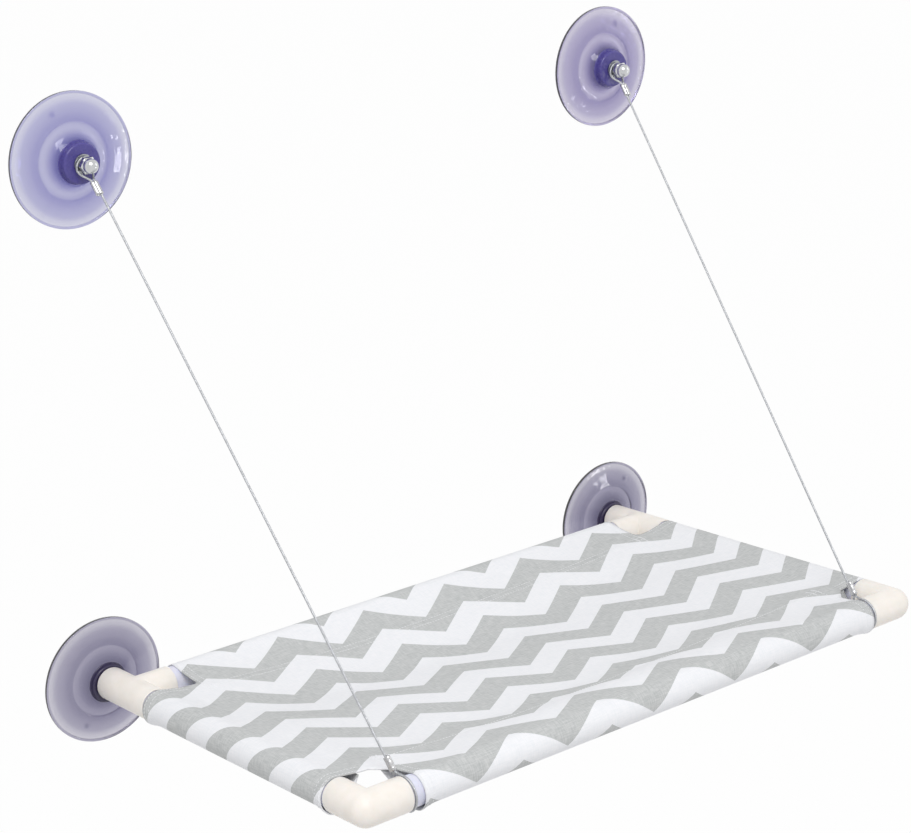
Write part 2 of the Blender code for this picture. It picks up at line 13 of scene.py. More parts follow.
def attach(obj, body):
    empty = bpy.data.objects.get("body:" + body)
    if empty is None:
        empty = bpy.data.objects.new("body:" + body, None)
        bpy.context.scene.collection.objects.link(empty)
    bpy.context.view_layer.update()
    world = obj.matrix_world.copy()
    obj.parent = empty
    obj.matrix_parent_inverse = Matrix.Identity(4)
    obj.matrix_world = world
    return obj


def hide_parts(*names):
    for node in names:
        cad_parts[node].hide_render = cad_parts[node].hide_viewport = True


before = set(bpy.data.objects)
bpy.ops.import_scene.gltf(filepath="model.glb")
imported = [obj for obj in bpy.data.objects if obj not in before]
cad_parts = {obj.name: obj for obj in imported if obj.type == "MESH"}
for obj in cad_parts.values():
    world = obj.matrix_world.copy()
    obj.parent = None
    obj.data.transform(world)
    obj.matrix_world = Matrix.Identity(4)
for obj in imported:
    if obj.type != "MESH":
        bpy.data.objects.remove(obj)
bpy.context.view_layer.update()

# Camera, in the photograph's frame of 911 by 833
FRAME_WIDTH = 911
FOCAL_PIXELS = 2440.0
SENSOR_WIDTH = 36.0
CAMERA_AZIMUTH = math.radians(-38.68)
CAMERA_ELEVATION = math.radians(18.61)
CAMERA_ROLL = math.radians(-1.23)
CAMERA_DISTANCE = 2.2404
CAMERA_TARGET = Vector((0.1014, 0.0, 0.1449))


def photo_camera():
    back = Vector((math.sin(CAMERA_AZIMUTH) * math.cos(CAMERA_ELEVATION),
                   -math.cos(CAMERA_AZIMUTH) * math.cos(CAMERA_ELEVATION),
                   math.sin(CAMERA_ELEVATION)))
    level = Vector((0.0, 0.0, 1.0)).cross(back).normalized()
    upright = back.cross(level)
    right = level * math.cos(CAMERA_ROLL) + upright * math.sin(CAMERA_ROLL)
    up = back.cross(right)
    data = bpy.data.cameras.new("photo_camera")
    data.sensor_width = SENSOR_WIDTH
    data.lens = FOCAL_PIXELS * SENSOR_WIDTH / FRAME_WIDTH
    camera = bpy.data.objects.new("photo_camera", data)
    turn = Matrix((right, up, back)).transposed().to_4x4()
    camera.matrix_world = Matrix.Translation(CAMERA_TARGET + back * CAMERA_DISTANCE) @ turn
    bpy.context.scene.collection.objects.link(camera)
    bpy.context.scene.camera = camera


photo_camera()
bpy.context.scene.view_settings.view_transform = "Standard"

# Layout that the CAD model was built from
FRAME_PITCH = math.radians(3.64)
HALF_SPACING = 0.286
FRONT_REACH = 0.370
BACK_REACH = 0.050
UPPER_CUP_ACROSS = 0.281
UPPER_CUP_HEIGHT = 0.445

PIPE_RADIUS = 0.0125
PIPE_WALL = 0.0020
FITTING_RADIUS = 0.0140
FITTING_REACH = 0.0352
SOCKET_RADIUS = 0.0128
SOCKET_DEPTH = 0.0060
LIP_ROUNDING = 0.0009

FRAME_TURN = Matrix.Rotation(-FRAME_PITCH, 4, "X")


def frame_place(across, reach, rise):
    """Place in the CAD frame of a point across the glass, along the side rails and above their axes."""
    return FRAME_TURN @ Vector((across, -reach, rise))


# Finishes
def seen(red, green, blue):
    """Linear colour of a shade given as it shows on a screen, from 0 to 255."""
    shades = []
    for value in (red, green, blue):
        share = value / 255
        shades.append(share / 12.92 if share <= 0.04045 else ((share + 0.055) / 1.055) ** 2.4)
    return (*shades, 1.0)


class Finish:
    """A material's node tree, written node by node around one Principled shader."""

    def __init__(self, name, colour, roughness, **sockets):
        self.material = bpy.data.materials.new(name)
        self.material.use_nodes = True
        self.tree = self.material.node_tree
        self.shader = self.tree.nodes["Principled BSDF"]
        self.output = self.tree.nodes["Material Output"]
        self.set(self.shader, Base_Color=colour, Roughness=roughness, **sockets)

    def set(self, item, **sockets):
        for name, value in sockets.items():
            key = int(name[1:]) if name[0] == "i" and name[1:].isdigit() else name.replace("_", " ")
            socket = item.inputs[key]
            if isinstance(value, bpy.types.NodeSocket):
                self.tree.links.new(value, socket)
            else:
                socket.default_value = value

    def node(self, kind, settings=None, **sockets):
        item = self.tree.nodes.new("ShaderNode" + kind)
        for name, value in (settings or {}).items():
            setattr(item, name, value)
        self.set(item, **sockets)
        return item

    def maths(self, operation, first, second=0.0, third=0.0):
        item = self.node("Math", {"operation": operation}, i0=first, i1=second, i2=third)
        return item.outputs[0]

    def noise(self, size, detail=4.0, where=None):
        """Soft noise from 0 to 1 whose blobs are about the given size, in object coordinates by default."""
        where = where or self.node("TexCoord").outputs["Object"]
        item = self.node("TexNoise", Vector=where, Scale=1 / size, Detail=detail, Roughness=0.55)
        return item.outputs[0]

    def ramp(self, value, low, high, start=0.0, stop=1.0):
        """A number that runs from low to high as the value runs from start to stop."""
        item = self.node("MapRange", i0=value, i1=start, i2=stop, i3=low, i4=high)
        return item.outputs[0]

    def mix(self, share, first, second):
        item = self.node("Mix", {"data_type": "RGBA"}, i0=share, i6=first, i7=second)
        return item.outputs[2]

    def bump(self, height, depth, strength=1.0):
        item = self.node("Bump", Height=height, Distance=depth, Strength=strength)
        self.set(self.shader, Normal=item.outputs[0])

    def rough(self, value, low, high):
        """Roughness that follows a noise, whose values lie mostly from 0.3 to 0.7."""
        self.set(self.shader, Roughness=self.ramp(value, low, high, start=0.3, stop=0.7))


def moulded_plastic(name, colour, shade, roughness):
    """Smooth moulded plastic with a faint mottle and the ripple of a polished tool."""
    finish = Finish(name, colour, roughness, Subsurface_Weight=0.12, Subsurface_Scale=0.004, IOR=1.47)
    finish.set(finish.shader, Subsurface_Radius=(1.0, 0.75, 0.55))
    mottle = finish.ramp(finish.noise(size=0.012, detail=3.0), low=0.0, high=1.0, start=0.3, stop=0.7)
    finish.set(finish.shader, Base_Color=finish.mix(mottle, colour, shade))
    finish.rough(finish.noise(size=0.004, detail=5.0), low=roughness - 0.05, high=roughness + 0.07)
    finish.bump(finish.noise(size=0.0015, detail=2.0), depth=0.00003)
    return finish.material


def bright_metal(name, colour, roughness, grain):
    """Plated or drawn metal with fine grain and faint stains."""
    finish = Finish(name, colour, roughness, Metallic=1.0)
    stain = finish.ramp(finish.noise(size=0.004), low=0.0, high=1.0, start=0.35, stop=0.75)
    dark = tuple(value * 0.82 for value in colour[:3]) + (1.0,)
    finish.set(finish.shader, Base_Color=finish.mix(stain, colour, dark))
    finish.rough(finish.noise(size=0.0008), low=roughness * 0.7, high=roughness * 1.4)
    finish.bump(finish.noise(size=0.0005, detail=3.0), depth=grain)
    return finish.material


def clear_vinyl(name, skin, tint, density, roughness):
    """Soft vinyl, a little milky, whose colour deepens with its thickness."""
    finish = Finish(name, skin, roughness, Transmission_Weight=0.95, IOR=1.45)
    finish.rough(finish.noise(size=0.006), low=roughness * 0.6, high=roughness * 1.5)
    finish.bump(finish.noise(size=0.014, detail=2.0), depth=0.0012, strength=0.5)
    absorb = finish.node("VolumeAbsorption", Color=tint, Density=density)
    finish.set(finish.output, Volume=absorb.outputs[0])
    return finish.material


# Print of the cover, in metres on the cloth
PRINT_WAVE = 0.09085
PRINT_PEAK = 0.0377
PRINT_ROW = 0.0573
PRINT_START = 0.0713
PRINT_HEIGHT = 0.0162
PRINT_DUTY = 0.503
PRINT_TURN = -0.005
PRINT_EDGE = 0.0002
PRINT_FUZZ = 0.00025

# Weave and creases of the cover
THREAD_PITCH = 0.00055
WEAVE_DEPTH = 0.00012
SLUB_SIZE = 0.0011
SLUB_STRETCH = 0.12
CREASE_SIZE = 0.022
CREASE_DEPTH = 0.0007
CREASE_STRETCH = 0.45
CREASE_TURN = 0.35
CLOTH_COLOUR = seen(240, 241, 244)
CLOTH_WHITE = seen(246, 246, 249)
CLOTH_SHADE = seen(237, 239, 243)
INK_GREY = seen(208, 209, 209)
INK_SHADE = seen(182, 185, 185)


def printed_canvas():
    """Plain woven canvas, white, with a grey zigzag printed on it in the cloth's own coordinates."""
    finish = Finish("cover_canvas", CLOTH_COLOUR, 0.92, Sheen_Weight=0.12, Sheen_Roughness=0.5)
    flat = finish.node("UVMap", {"uv_map": "cloth"}).outputs[0]
    turned_flat = finish.node("Mapping", i0=flat, i2=(0.0, 0.0, PRINT_TURN)).outputs[0]
    parts = finish.node("SeparateXYZ", i0=turned_flat)
    across, along = parts.outputs[0], parts.outputs[1]
    waves = finish.maths("DIVIDE", finish.maths("SUBTRACT", across, PRINT_PEAK), PRINT_WAVE)
    fold = finish.maths("PINGPONG", waves, 0.5)
    zigzag = finish.maths("MULTIPLY_ADD", fold, -4 * PRINT_HEIGHT, PRINT_HEIGHT)
    rows = finish.maths("ADD", finish.maths("SUBTRACT", along, PRINT_START), zigzag)
    fuzz = finish.noise(size=0.0012, detail=2.0, where=flat)
    rows = finish.maths("ADD", rows, finish.ramp(fuzz, -PRINT_FUZZ, PRINT_FUZZ))
    share = finish.maths("FRACT", finish.maths("DIVIDE", rows, PRINT_ROW))
    edge = PRINT_EDGE / PRINT_ROW
    rise = finish.ramp(share, 0.0, 1.0, -edge, edge)
    fall = finish.ramp(share, 1.0, 0.0, PRINT_DUTY - edge, PRINT_DUTY + edge)
    ink = finish.maths("MULTIPLY", rise, fall)
    slubs = []
    for stretch in ((1.0, SLUB_STRETCH, 1.0), (SLUB_STRETCH, 1.0, 1.0)):
        stretched = finish.node("Mapping", i0=flat, i3=stretch).outputs[0]
        slubs.append(finish.noise(SLUB_SIZE, detail=3.0, where=stretched))
    slub = finish.maths("ADD", *slubs)
    shade = finish.ramp(slub, low=0.0, high=1.0, start=0.75, stop=1.25)
    grey = finish.mix(shade, INK_GREY, INK_SHADE)
    white = finish.mix(shade, CLOTH_WHITE, CLOTH_SHADE)
    finish.set(finish.shader, Base_Color=finish.mix(ink, white, grey))
    ridges = []
    for socket in (across, along):
        turn = finish.maths("MULTIPLY", socket, math.pi / THREAD_PITCH)
        ridges.append(finish.maths("SINE", turn))
    over = finish.maths("GREATER_THAN", finish.maths("MULTIPLY", ridges[0], ridges[1]), 0.0)
    first = finish.maths("ABSOLUTE", ridges[0])
    second = finish.maths("ABSOLUTE", ridges[1])
    weave = finish.node("Mix", {"data_type": "FLOAT"}, i0=over, i2=first, i3=second).outputs[0]
    height = finish.maths("MULTIPLY_ADD", weave, 0.5, finish.maths("MULTIPLY", slub, 0.5))
    drawn = finish.node("Mapping", i0=flat, i2=(0.0, 0.0, CREASE_TURN), i3=(CREASE_STRETCH, 1.0, 1.0))
    creases = finish.noise(CREASE_SIZE, detail=2.0, where=drawn.outputs[0])
    height = finish.maths("MULTIPLY_ADD", creases, CREASE_DEPTH / WEAVE_DEPTH, height)
    finish.bump(height, WEAVE_DEPTH, strength=0.8)
    return finish.material


def sewing_thread():
    """White twisted thread."""
    finish = Finish("sewing_thread", seen(243, 243, 246), 0.7, Sheen_Weight=0.1)
    twist = finish.noise(size=0.0003, detail=3.0)
    finish.set(finish.shader, Base_Color=finish.mix(twist, seen(248, 248, 250), seen(232, 233, 236)))
    finish.bump(twist, depth=0.00005)
    return finish.material


IVORY = seen(247, 241, 235)
IVORY_SHADE = seen(240, 234, 226)
HUB_VIOLET = seen(80, 73, 144)
HUB_SHADE = seen(72, 64, 134)
# Near-black violet for the lower hubs: a painted shadow of the tees over them
HUB_PAINTED_SHADOW = seen(45, 38, 70)
PIPE_WHITE = seen(228, 228, 242)
PIPE_SHADE = seen(218, 219, 236)
IVORY_PVC = moulded_plastic("ivory_pvc", IVORY, IVORY_SHADE, roughness=0.38)
WHITE_PIPE = moulded_plastic("white_pipe", PIPE_WHITE, PIPE_SHADE, roughness=0.30)
LAVENDER_SKIN = (0.94, 0.95, 0.90, 1.0)
LAVENDER_TINT = (0.10, 0.07, 0.63, 1.0)
VIOLET_SKIN = (0.92, 0.91, 0.89, 1.0)
VIOLET_TINT = (0.24, 0.17, 0.58, 1.0)
# Greyer, denser tint for the lower cups: painted shade of the tees and cloth above them
SHADED_CUP_TINT = (0.17, 0.14, 0.40, 1.0)
LAVENDER_VINYL = clear_vinyl("lavender_vinyl", LAVENDER_SKIN, LAVENDER_TINT, density=265.0, roughness=0.06)
VIOLET_VINYL = clear_vinyl("violet_vinyl", VIOLET_SKIN, VIOLET_TINT, density=300.0, roughness=0.07)
SHADED_CUP_VINYL = clear_vinyl("shaded_violet_vinyl", VIOLET_SKIN, SHADED_CUP_TINT, density=350.0, roughness=0.08)
HUB_VINYL = moulded_plastic("hub_vinyl", HUB_VIOLET, HUB_SHADE, roughness=0.26)
SHADOWED_HUB_VINYL = moulded_plastic("shadowed_hub_vinyl", HUB_PAINTED_SHADOW, HUB_PAINTED_SHADOW, roughness=0.30)
# Chrome darker than polished chrome: a painted reflection of darker surroundings than the white studio gives
# it
DARKENED_CHROME = bright_metal("polished_chrome_painted_reflection", (0.62, 0.63, 0.64, 1.0), roughness=0.08, grain=0.00001)
# Zinc plate darker than its own colour: painted shade set for the washers' dark recess, used on studs and
# lower nuts too
SHADED_ZINC = bright_metal("shaded_zinc_plate", (0.40, 0.41, 0.43, 1.0), roughness=0.24, grain=0.00002)
# Ferrule metal set darker than its own colour: painted shade and dark reflection on the crimped barrels
SHADED_FERRULE = bright_metal("pressed_ferrule_painted_shade", (0.55, 0.55, 0.56, 1.0), roughness=0.18, grain=0.00003)
WIRE = bright_metal("drawn_wire", (0.52, 0.53, 0.55, 1.0), roughness=0.42, grain=0.00002)
CANVAS = printed_canvas()
THREAD = sewing_thread()


# Helpers for new pieces
def new_piece(name, builder, finish, body, turn=None, nodes=(), sharp=35):
    """Turn a bmesh into a smooth piece that rides on a body and stands for CAD nodes."""
    if turn is not None:
        bmesh.ops.transform(builder, matrix=turn, verts=builder.verts)
    mesh = bpy.data.meshes.new(name)
    builder.to_mesh(mesh)
    builder.free()
    mesh.materials.append(finish)
    mesh.shade_smooth()
    mesh.set_sharp_from_angle(angle=math.radians(sharp))
    item = bpy.data.objects.new(name, mesh)
    bpy.context.scene.collection.objects.link(item)
    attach(item, body)
    if nodes:
        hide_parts(*nodes)
    return item


def add_to(builder, other):
    """Add another bmesh's geometry to a builder and free the other."""
    mesh = bpy.data.meshes.new("added")
    other.to_mesh(mesh)
    other.free()
    builder.from_mesh(mesh)
    bpy.data.meshes.remove(mesh)


def turned(profile, steps, closed=False):
    """Turn a profile of radius and height round Z."""
    builder = bmesh.new()
    points = [builder.verts.new((radius, 0.0, height)) for radius, height in profile]
    edges = [builder.edges.new(pair) for pair in zip(points, points[1:])]
    if closed:
        edges.append(builder.edges.new((points[-1], points[0])))
    bmesh.ops.spin(builder, geom=points + edges, cent=(0, 0, 0), axis=(0, 0, 1),
                   angle=math.tau, steps=steps, use_merge=True)
    bmesh.ops.remove_doubles(builder, verts=builder.verts, dist=1e-6)
    bmesh.ops.recalc_face_normals(builder, faces=builder.faces)
    return builder


def rounded(points, radii, steps=4):
    """A profile with its corners rounded, each by its own radius."""
    out = []
    for index, (point, radius) in enumerate(zip(points, radii)):
        here = Vector(point)
        if radius == 0 or index in (0, len(points) - 1):
            out.append(tuple(here))
            continue
        before = (Vector(points[index - 1]) - here).normalized()
        after = (Vector(points[index + 1]) - here).normalized()
        half = before.angle(after) / 2
        reach = radius / math.tan(half)
        start, stop = here + before * reach, here + after * reach
        for step in range(steps + 1):
            share = step / steps
            arc = start * (1 - share) ** 2 + here * (2 * share * (1 - share)) + stop * share ** 2
            out.append(tuple(arc))
    return out


def grown(builder, ring):
    """Extrude a ring of edges, and give the new ring's vertices and edges."""
    made = bmesh.ops.extrude_edge_only(builder, edges=ring)["geom"]
    verts = [item for item in made if isinstance(item, bmesh.types.BMVert)]
    edges = [item for item in made if isinstance(item, bmesh.types.BMEdge)
             and all(vert in verts for vert in item.verts)]
    return verts, edges


# Pipes, elbows and tees
FITTING_STEPS = 64
LIP_STEPS = 4
MOUTH_DEPTH = 0.0004
MOUTH_FLARE = 0.0002
PIPE_ROUNDING = 0.0004
TUBE_STOP = 0.0145
X_AXIS = Vector((1, 0, 0))
Y_AXIS = Vector((0, 1, 0))
Z_AXIS = Vector((0, 0, 1))


def rail_tube(name, length, centre, axis):
    wall = rounded([(PIPE_RADIUS - PIPE_WALL, length / 2), (PIPE_RADIUS, length / 2),
                    (PIPE_RADIUS, -length / 2), (PIPE_RADIUS - PIPE_WALL, -length / 2)],
                   [0, PIPE_ROUNDING, PIPE_ROUNDING, 0])
    builder = turned(wall, FITTING_STEPS, closed=True)
    turn = FRAME_TURN @ Matrix.Translation(centre) @ axis.to_track_quat("Z", "Y").to_matrix().to_4x4()
    new_piece(name + "_pipe", builder, WHITE_PIPE, "frame", turn, (name,))


def fitting_arm(builder, direction, others):
    """One arm of a fitting round its middle, cut on the mitre where the other arms begin."""
    side = direction.cross(Z_AXIS)
    turn = Matrix((side, Z_AXIS, side.cross(Z_AXIS))).transposed().to_4x4()
    verts = bmesh.ops.create_circle(builder, segments=FITTING_STEPS, radius=1.0)["verts"]
    bmesh.ops.transform(builder, matrix=turn, verts=verts)
    ring = list({edge for vert in verts for edge in vert.link_edges})
    rings = [(SOCKET_RADIUS, FITTING_REACH - SOCKET_DEPTH), (SOCKET_RADIUS, FITTING_REACH - MOUTH_DEPTH),
             (SOCKET_RADIUS + MOUTH_FLARE, FITTING_REACH)]
    for angle in np.linspace(0.0, math.pi / 2, LIP_STEPS + 1):
        rings.append((FITTING_RADIUS - LIP_ROUNDING * (1 - math.sin(angle)),
                      FITTING_REACH - LIP_ROUNDING * (1 - math.cos(angle))))
    rings += [(FITTING_RADIUS, FITTING_RADIUS + LIP_ROUNDING), (FITTING_RADIUS, None)]
    for index, (radius, reach) in enumerate(rings):
        if index:
            verts, ring = grown(builder, ring)
        for vert in verts:
            out = vert.co - direction * vert.co.dot(direction)
            out.normalize()
            along = reach
            if reach is None:
                along = max([0.0] + [radius * out.dot(other) for other in others])
            vert.co = out * radius + direction * along
    return ring


def fitting(name, centre, arms, ball):
    """Elbow or tee with its arms in the frame's own axes."""
    builder = bmesh.new()
    for direction in arms:
        others = [other for other in arms if other is not direction]
        ring = fitting_arm(builder, direction, others)
        if ball and direction is arms[0]:
            outer = [edge for edge in ring
                     if all(vert.co.dot(arms[1]) < 1e-6 for vert in edge.verts)]
            verts = list({vert for edge in outer for vert in edge.verts})
            swing = arms[1].cross(arms[0]).normalized()
            bmesh.ops.spin(builder, geom=verts + outer, cent=(0, 0, 0), axis=swing,
                           angle=math.pi / 2, steps=16)
    bmesh.ops.remove_doubles(builder, verts=builder.verts, dist=1e-5)
    bmesh.ops.recalc_face_normals(builder, faces=builder.faces)
    turn = FRAME_TURN @ Matrix.Translation(centre)
    new_piece(name + "_shell", builder, IVORY_PVC, "frame", turn, (name,))


def frame_pieces():
    across = 2 * (HALF_SPACING - TUBE_STOP)
    along = FRONT_REACH - BACK_REACH - 2 * TUBE_STOP
    middle = -(FRONT_REACH + BACK_REACH) / 2
    rail_tube("front_rail_tube", across, Vector((0, -FRONT_REACH, 0)), X_AXIS)
    rail_tube("back_rail_tube", across, Vector((0, -BACK_REACH, 0)), X_AXIS)
    for hand, side in (("left", -1), ("right", 1)):
        rail_tube(hand + "_side_tube", along, Vector((side * HALF_SPACING, middle, 0)), Y_AXIS)
        inward = -side * X_AXIS
        corner = Vector((side * HALF_SPACING, -FRONT_REACH, 0))
        fitting("front_" + hand + "_elbow", corner, [inward, Y_AXIS], True)
        corner = Vector((side * HALF_SPACING, -BACK_REACH, 0))
        fitting("back_" + hand + "_tee", corner, [inward, Y_AXIS, -Y_AXIS], False)
        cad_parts[hand + "_tee_plug"].data.materials.clear()
        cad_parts[hand + "_tee_plug"].data.materials.append(IVORY_PVC)


frame_pieces()


# Cloth cover: a plus-shaped sheet with a pocket sewn round each rail
CLOTH = 0.0009
WRAP_RADIUS = 0.01335
SEAM_GAP = 0.0003
BACK_SEAM = 0.0955
FRONT_SEAM = 0.3215
SIDE_SEAM = 0.2640
SAG_POWER = 2.15
BACK_SLEEVE_ENDS = (0.2453, 0.2485)
FRONT_SLEEVE_ENDS = (0.2410, 0.2468)
SIDE_SLEEVE_BACK = 0.0877
SIDE_SLEEVE_FRONT = 0.3335
BACK_CHAMFER = 0.004
FRONT_CHAMFER = 0.014
SLEEVE_SLACK = 0.0022
SLACK_REACH = 0.016
FRONT_BULGE = 0.0038
BULGE_LOSS = 0.0105
SHEET_SAG = 0.0016
FRONT_EASE = 0.0036
FRONT_EASE_REACH = 0.030

# Panel from back to front: place along the side rails, height of its middle line and of its side seams
# above the rails' axes, and how far its right half stands above its left
PANEL_LINE = ((BACK_SEAM, -0.0020, 0.0095, 0.0020),
              (0.1300, -0.0106, 0.0066, 0.0020),
              (0.1550, -0.0129, 0.0062, 0.0028),
              (0.2150, -0.0083, 0.0090, -0.0020),
              (0.2750, -0.0067, 0.0090, -0.0008),
              (0.3000, -0.0036, 0.0092, 0.0024),
              (FRONT_SEAM, 0.0025, 0.0112, 0.0024))
LINE_STEPS = np.linspace(BACK_SEAM, FRONT_SEAM, 227)
EASE_STEPS = 11
PRINT_MIDDLE = 0.21


def eased(column):
    """One column of the panel line at each of its steps, with its corners eased."""
    values = np.interp(LINE_STEPS, [row[0] for row in PANEL_LINE], [row[column] for row in PANEL_LINE])
    window = np.hanning(2 * EASE_STEPS + 1)
    padded = np.pad(values, EASE_STEPS, mode="reflect", reflect_type="odd")
    return np.convolve(padded, window / window.sum(), mode="valid")


MIDDLE_RISES = eased(1)
SIDE_RISES = eased(2)
LEANS = eased(3)
LINE_SLOPES = np.gradient(MIDDLE_RISES, LINE_STEPS)
LINE_GROWTH = np.cumsum(LINE_SLOPES ** 2 / 2) * (LINE_STEPS[1] - LINE_STEPS[0])
LINE_GROWTH -= np.interp(PRINT_MIDDLE, LINE_STEPS, LINE_GROWTH)


def along_line(along, values):
    return float(np.interp(along, LINE_STEPS, values))


def hang(across):
    """Share of the middle's sag that the cover has at a distance from the middle."""
    return 1 - min(abs(across) / SIDE_SEAM, 1.0) ** SAG_POWER


def panel_rise(across, along):
    side = along_line(along, SIDE_RISES)
    lean = along_line(along, LEANS) / 2 * math.sin(math.pi * min(max(across / SIDE_SEAM, -1.0), 1.0))
    return side + hang(across) * (along_line(along, MIDDLE_RISES) - side) + lean


class Pocket:
    """Section of a pocket, from its seam over a rail, round it and back under itself."""

    def __init__(self, reach, rise, bulge=0.0):
        under = rise - CLOTH - SEAM_GAP
        self.reach, self.rise, self.bulge = reach, rise, bulge
        self.upper = math.asin(WRAP_RADIUS / math.hypot(reach, rise)) - math.atan2(rise, reach)
        self.lower = math.asin(WRAP_RADIUS / math.hypot(reach, under)) + math.atan2(under, reach)
        top = (reach - WRAP_RADIUS * math.sin(self.upper)) / math.cos(self.upper)
        turn = WRAP_RADIUS * (math.pi + self.upper + self.lower)
        low = (reach - WRAP_RADIUS * math.sin(self.lower)) / math.cos(self.lower)
        self.stops = [0.0, top, top + turn, top + turn + low]

    def place(self, length, slack=0.0):
        """How far from the seam this much cloth reaches, and how high, with slack under an open end."""
        if length <= self.stops[1]:
            share = length / self.stops[1]
            rise = self.rise + length * math.sin(self.upper) + self.bulge * 4 * share * (1 - share)
            return length * math.cos(self.upper), rise
        if length <= self.stops[2]:
            angle = (length - self.stops[1]) / WRAP_RADIUS - self.upper
            radius = WRAP_RADIUS + slack * math.sin(min(max(angle, 0.0), math.pi) / 2) ** 2
            return self.reach + radius * math.sin(angle), radius * math.cos(angle)
        rest = min(length, self.stops[3]) - self.stops[2]
        radius = WRAP_RADIUS + slack * (1 - rest / (self.stops[3] - self.stops[2]))
        out = self.reach - radius * math.sin(self.lower) - rest * math.cos(self.lower)
        return out, rest * math.sin(self.lower) - radius * math.cos(self.lower)


def sleeve_end(across, along):
    """How far from the middle the nearer end pocket stops on this side."""
    ends = FRONT_SLEEVE_ENDS if along > (BACK_SEAM + FRONT_SEAM) / 2 else BACK_SLEEVE_ENDS
    return ends[1 if across > 0 else 0]


def open_end(distance):
    """Slack this far inside a pocket's open end."""
    return SLEEVE_SLACK * max(0.0, 1 - max(distance, 0.0) / SLACK_REACH) ** 2


def section(across, along, slack):
    """Place along the side rails, and height, of a spot on the flat cloth between the side seams."""
    if BACK_SEAM <= along <= FRONT_SEAM:
        return along, panel_rise(across, along)
    front = along > FRONT_SEAM
    seam, rail, outward = (FRONT_SEAM, FRONT_REACH, 1) if front else (BACK_SEAM, BACK_REACH, -1)
    bulge = max(FRONT_BULGE - BULGE_LOSS * (1 - hang(across)), -SHEET_SAG) if front else -SHEET_SAG
    pocket = Pocket(abs(rail - seam), panel_rise(across, seam), bulge)
    out, rise = pocket.place(abs(along - seam), slack)
    return seam + outward * out, rise


def cloth_place(across, along):
    """Place in the CAD frame of a spot on the flat cloth."""
    wide = abs(across)
    if wide <= SIDE_SEAM:
        half = sleeve_end(across, along)
        reach, rise = section(across, along, open_end(half - wide))
        return frame_place(across, reach, rise)
    reach, rise = section(SIDE_SEAM, along, 0.0)
    pocket = Pocket(HALF_SPACING - SIDE_SEAM, rise)
    slack = open_end(min(along - SIDE_SLEEVE_BACK, SIDE_SLEEVE_FRONT - along))
    out, rise = pocket.place(wide - SIDE_SEAM, slack)
    return frame_place(math.copysign(SIDE_SEAM + out, across), reach, rise)


def print_place(across, along):
    """Spot on the printed cloth, with the length that the sag and the front pocket's slack take up added."""
    share = min(abs(across) / SIDE_SEAM, 1.0)
    drop = along_line(along, SIDE_RISES) - along_line(along, MIDDLE_RISES)
    growth = (drop * SAG_POWER) ** 2 / (2 * SIDE_SEAM * (2 * SAG_POWER - 1)) * share ** (2 * SAG_POWER - 1)
    growth_along = hang(across) ** 2 * along_line(along, LINE_GROWTH)
    growth_along += FRONT_EASE * min(max((along - FRONT_REACH + WRAP_RADIUS) / FRONT_EASE_REACH, 0.0), 1.0)
    return across + math.copysign(growth, across), along + growth_along


SIDE_EDGE = SIDE_SEAM + Pocket(HALF_SPACING - SIDE_SEAM, PANEL_LINE[0][2]).stops[3]
BACK_EDGE = BACK_SEAM - Pocket(BACK_SEAM - BACK_REACH, PANEL_LINE[0][1]).stops[3]
FRONT_EDGE = FRONT_SEAM + Pocket(FRONT_REACH - FRONT_SEAM, PANEL_LINE[-1][1]).stops[3]


def flat_place(u, v):
    """Spot on the flat cloth where two grid lines cross.

    u is 0 in the middle, 1 at the end pockets' sides, 2 at the side seams and 3 at the side pockets' edges.
    v is 0 at the back seam, 1 at the front seam, and 3 and -2 at the end pockets' edges.
    """
    stops = [BACK_EDGE, SIDE_SLEEVE_BACK, BACK_SEAM, FRONT_SEAM, SIDE_SLEEVE_FRONT, FRONT_EDGE]
    along = float(np.interp(v, [-2, -1, 0, 1, 2, 3], stops))
    side = 1 if u > 0 else 0
    half = float(np.interp(v, [-1, 2], [BACK_SLEEVE_ENDS[side], FRONT_SLEEVE_ENDS[side]]))
    across = float(np.interp(abs(u), [0, 1, 2, 3], [0, half, SIDE_SEAM, SIDE_EDGE]))
    front = v > 0.5
    beyond = along - SIDE_SLEEVE_FRONT if front else SIDE_SLEEVE_BACK - along
    beside = across - half
    cut = FRONT_CHAMFER if front else BACK_CHAMFER
    shift = max(0.0, cut - max(abs(beyond), abs(beside), abs(beyond - beside))) / 2
    along += shift if front else -shift
    return math.copysign(across + shift, u), along


def spaced(stops, counts):
    """Numbers from stop to stop, with a count of steps between each two."""
    values = []
    for start, stop, count in zip(stops, stops[1:], counts):
        values += list(np.linspace(start, stop, count, endpoint=False))
    return values + [stops[-1]]


# Seams and hems, sewn with white thread
STITCH_LENGTH = 0.0030
STITCH_GAP = 0.0007
THREAD_RADIUS = 0.00022
TACK_LENGTH = 0.0085
TACK_STITCH = 0.0012
TACK_RADIUS = 0.00042
ROW_SPACING = 0.0060
HEM_INSET = 0.0020
THREAD_LIFT = 0.35 * THREAD_RADIUS
PROBE = 0.0005

# Grid of the cover in the numbers of flat_place, and the count of steps between its lines
COLUMN_LINES = [-3, -2, -1, 1, 2, 3]
COLUMN_STEPS = [36, 8, 160, 8, 36]
ROW_LINES = [-2, -1, 0, 1, 2, 3]
ROW_STEPS = [52, 4, 76, 4, 52]


